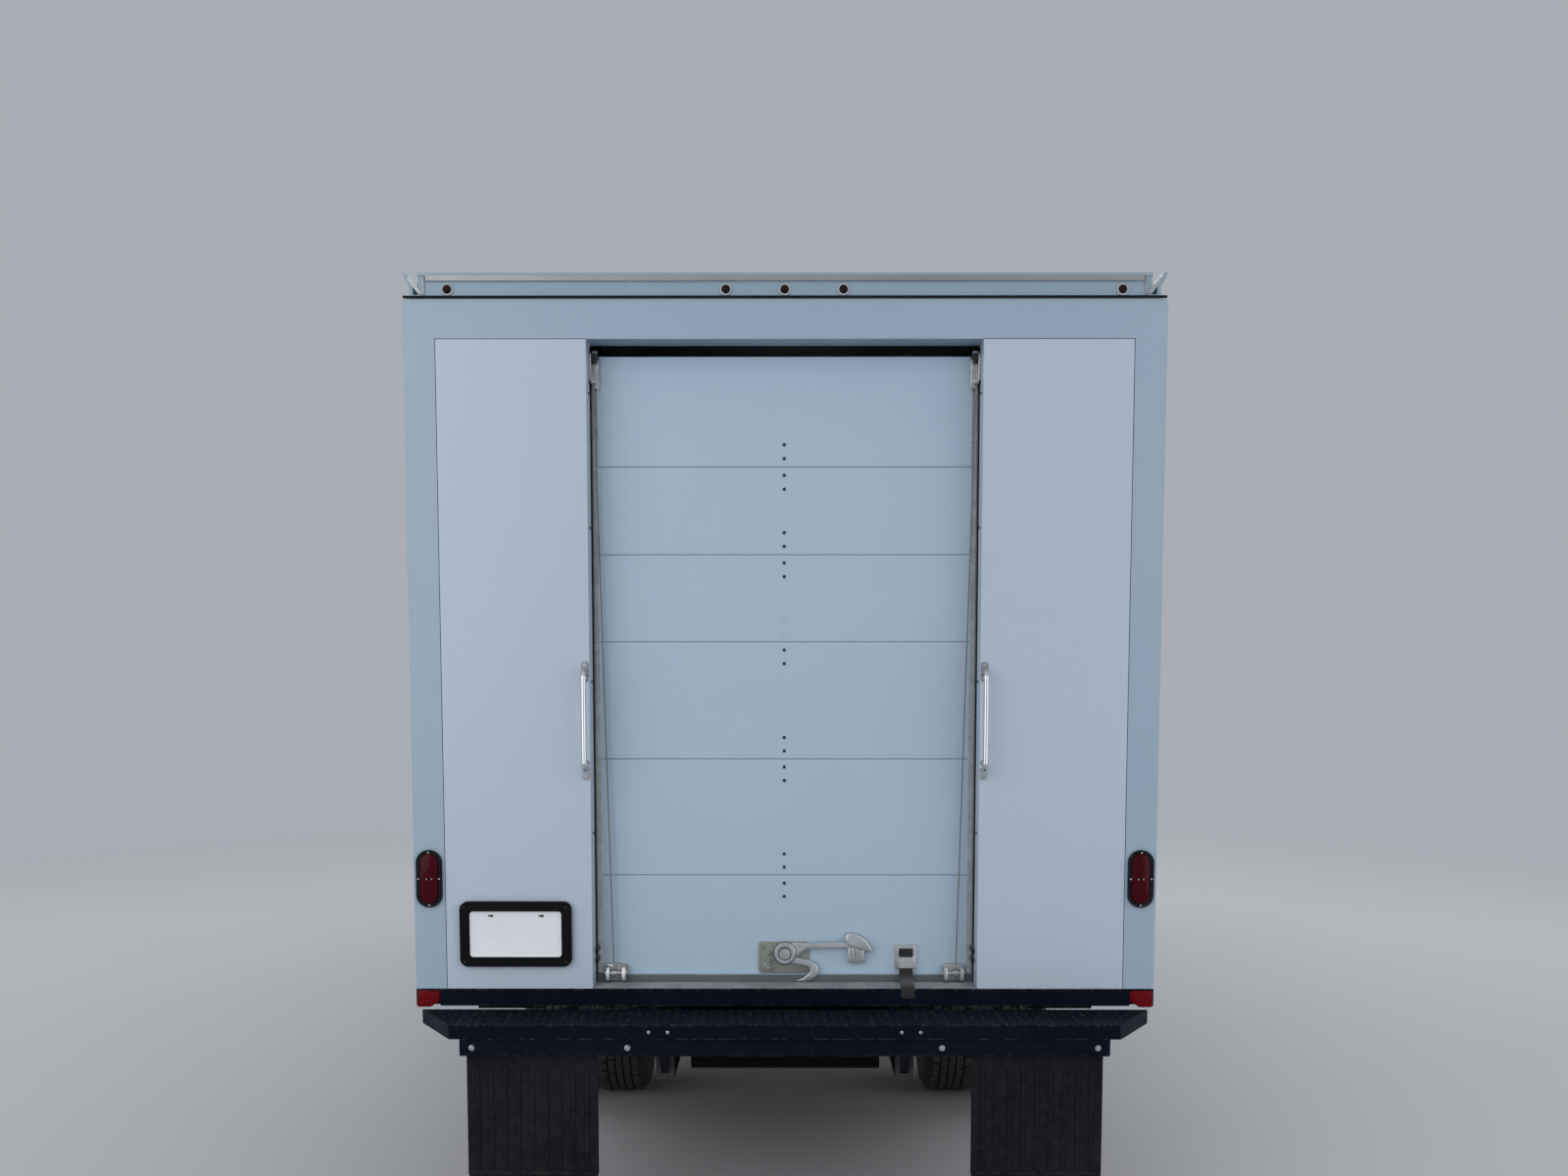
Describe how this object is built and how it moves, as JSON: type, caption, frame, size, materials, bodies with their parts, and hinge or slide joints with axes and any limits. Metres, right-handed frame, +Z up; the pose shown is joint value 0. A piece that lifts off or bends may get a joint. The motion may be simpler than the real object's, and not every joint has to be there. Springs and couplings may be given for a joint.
{
  "type": "cutaway van with box body",
  "caption": "Cutaway van: short cab on a ladder frame with a white box body, roller rear door, step bumper and twin rear wheels.",
  "frame": {"origin": "on the ground under the middle of the vehicle's length and width", "axes": "+Y forward, +X to the passenger side (right), +Z up"},
  "size_m": [2.6, 6.2068, 3.1459],
  "materials": {
    "box_white": "smooth white gel coat and paint, semi gloss, light road dust",
    "door_white": "white prepainted door sections, semi gloss",
    "cab_white": "white body paint, gloss",
    "rail_aluminium": "mill finish extrusion, slightly dulled",
    "chassis_black": "black chassis paint, dusty",
    "step_black": "black powder coat, tread plate",
    "engine_iron": "bare casting",
    "exhaust_steel": "dull steel",
    "moulded_black": "moulded, satin",
    "cab_lining": "grained grey moulding and mat",
    "window_glass": "clear with a green tint",
    "lamp_clear": "clear moulded lens",
    "lamp_red": "dark red moulded lens",
    "bumper_chrome": "bright plated steel",
    "handle_chrome": "bright plated steel",
    "track_steel": "zinc plated",
    "latch_steel": "zinc plated, dulled",
    "seat_vinyl": "grey vinyl",
    "floor_wood": "laminated hardwood planks, oiled",
    "strap_webbing": "black woven webbing",
    "flap_rubber": "matt black rubber",
    "wheel_white": "white painted steel",
    "tyre_rubber": "black, road worn"
  },
  "bodies": {
    "chassis": {"ladder_frame": "chassis_black", "engine_block": "engine_iron", "driveline": "engine_iron", "front_axle": "chassis_black", "rear_axle": "chassis_black", "leaf_springs": "chassis_black", "fuel_tank": "moulded_black", "exhaust": "exhaust_steel", "cab_floor": "cab_lining", "cab_roof": "cab_white", "cab_sides": "cab_white", "cowl": "cab_white", "windshield": "window_glass", "front_fenders": "cab_white", "nose_panel": "cab_white", "headlamps": "lamp_clear", "front_bumper": "bumper_chrome", "dashboard": "cab_lining", "steering_wheel": "moulded_black", "seat_frames": "moulded_black", "seat_pads": "seat_vinyl", "box_floor": "floor_wood", "long_sills": "chassis_black", "cross_sills": "chassis_black", "box_side_walls": "box_white", "box_front_wall": "box_white", "box_roof": "box_white", "roof_rails": "rail_aluminium", "rear_posts": "box_white", "rear_panels": "box_white", "rear_sill": "step_black", "rear_cap": "rail_aluminium", "lamps": "lamp_red", "roller_door": "door_white", "door_hinges": "track_steel", "door_tracks": "track_steel", "door_fittings": "track_steel", "door_latch": "latch_steel", "pull_strap": "strap_webbing", "grab_handles": "handle_chrome", "plate_holder": "moulded_black", "rear_bumper": "step_black", "mud_flaps": "flap_rubber"},
    "hood": {"hood": "cab_white"},
    "left_door": {"left_door": "cab_white", "left_door_glass": "window_glass", "left_mirror": "moulded_black"},
    "left_knuckle": {"left_knuckle": "chassis_black"},
    "front_left_wheel": {"front_left_rim": "wheel_white", "front_left_tyre": "tyre_rubber"},
    "rear_left_wheels": {"rear_left_rims": "wheel_white", "rear_left_tyres": "tyre_rubber"},
    "right_door": {"right_door": "cab_white", "right_door_glass": "window_glass", "right_mirror": "moulded_black"},
    "right_knuckle": {"right_knuckle": "chassis_black"},
    "front_right_wheel": {"front_right_rim": "wheel_white", "front_right_tyre": "tyre_rubber"},
    "rear_right_wheels": {"rear_right_rims": "wheel_white", "rear_right_tyres": "tyre_rubber"}
  },
  "joints": [
    {"name": "left_steer", "type": "hinge", "parent": "chassis", "child": "left_knuckle", "pos_m": [-0.8, 2.2535, 0.3715], "axis": [0, 0, 1], "range_deg": [-32, 32]},
    {"name": "right_steer", "type": "hinge", "parent": "chassis", "child": "right_knuckle", "pos_m": [0.8, 2.2535, 0.3715], "axis": [0, 0, 1], "range_deg": [-32, 32]},
    {"name": "front_left_spin", "type": "hinge", "parent": "left_knuckle", "child": "front_left_wheel", "pos_m": [-0.866, 2.2535, 0.3715], "axis": [-1, 0, 0], "continuous": true},
    {"name": "front_right_spin", "type": "hinge", "parent": "right_knuckle", "child": "front_right_wheel", "pos_m": [0.866, 2.2535, 0.3715], "axis": [-1, 0, 0], "continuous": true},
    {"name": "rear_left_spin", "type": "hinge", "parent": "chassis", "child": "rear_left_wheels", "pos_m": [-0.86, -1.2775, 0.3715], "axis": [-1, 0, 0], "continuous": true},
    {"name": "rear_right_spin", "type": "hinge", "parent": "chassis", "child": "rear_right_wheels", "pos_m": [0.86, -1.2775, 0.3715], "axis": [-1, 0, 0], "continuous": true},
    {"name": "left_door_swing", "type": "hinge", "parent": "chassis", "child": "left_door", "pos_m": [-1, 1.7985, 1], "axis": [0, 0, -1], "range_deg": [0, 62]},
    {"name": "right_door_swing", "type": "hinge", "parent": "chassis", "child": "right_door", "pos_m": [1, 1.7985, 1], "axis": [0, 0, 1], "range_deg": [0, 62]},
    {"name": "hood_lift", "type": "hinge", "parent": "chassis", "child": "hood", "pos_m": [0, 2.0635, 1.262], "axis": [1, 0, 0], "range_deg": [0, 50]}
  ],
  "couplings": [
    {"joint": "right_steer", "follows": "left_steer", "ratio": 1}
  ]
}
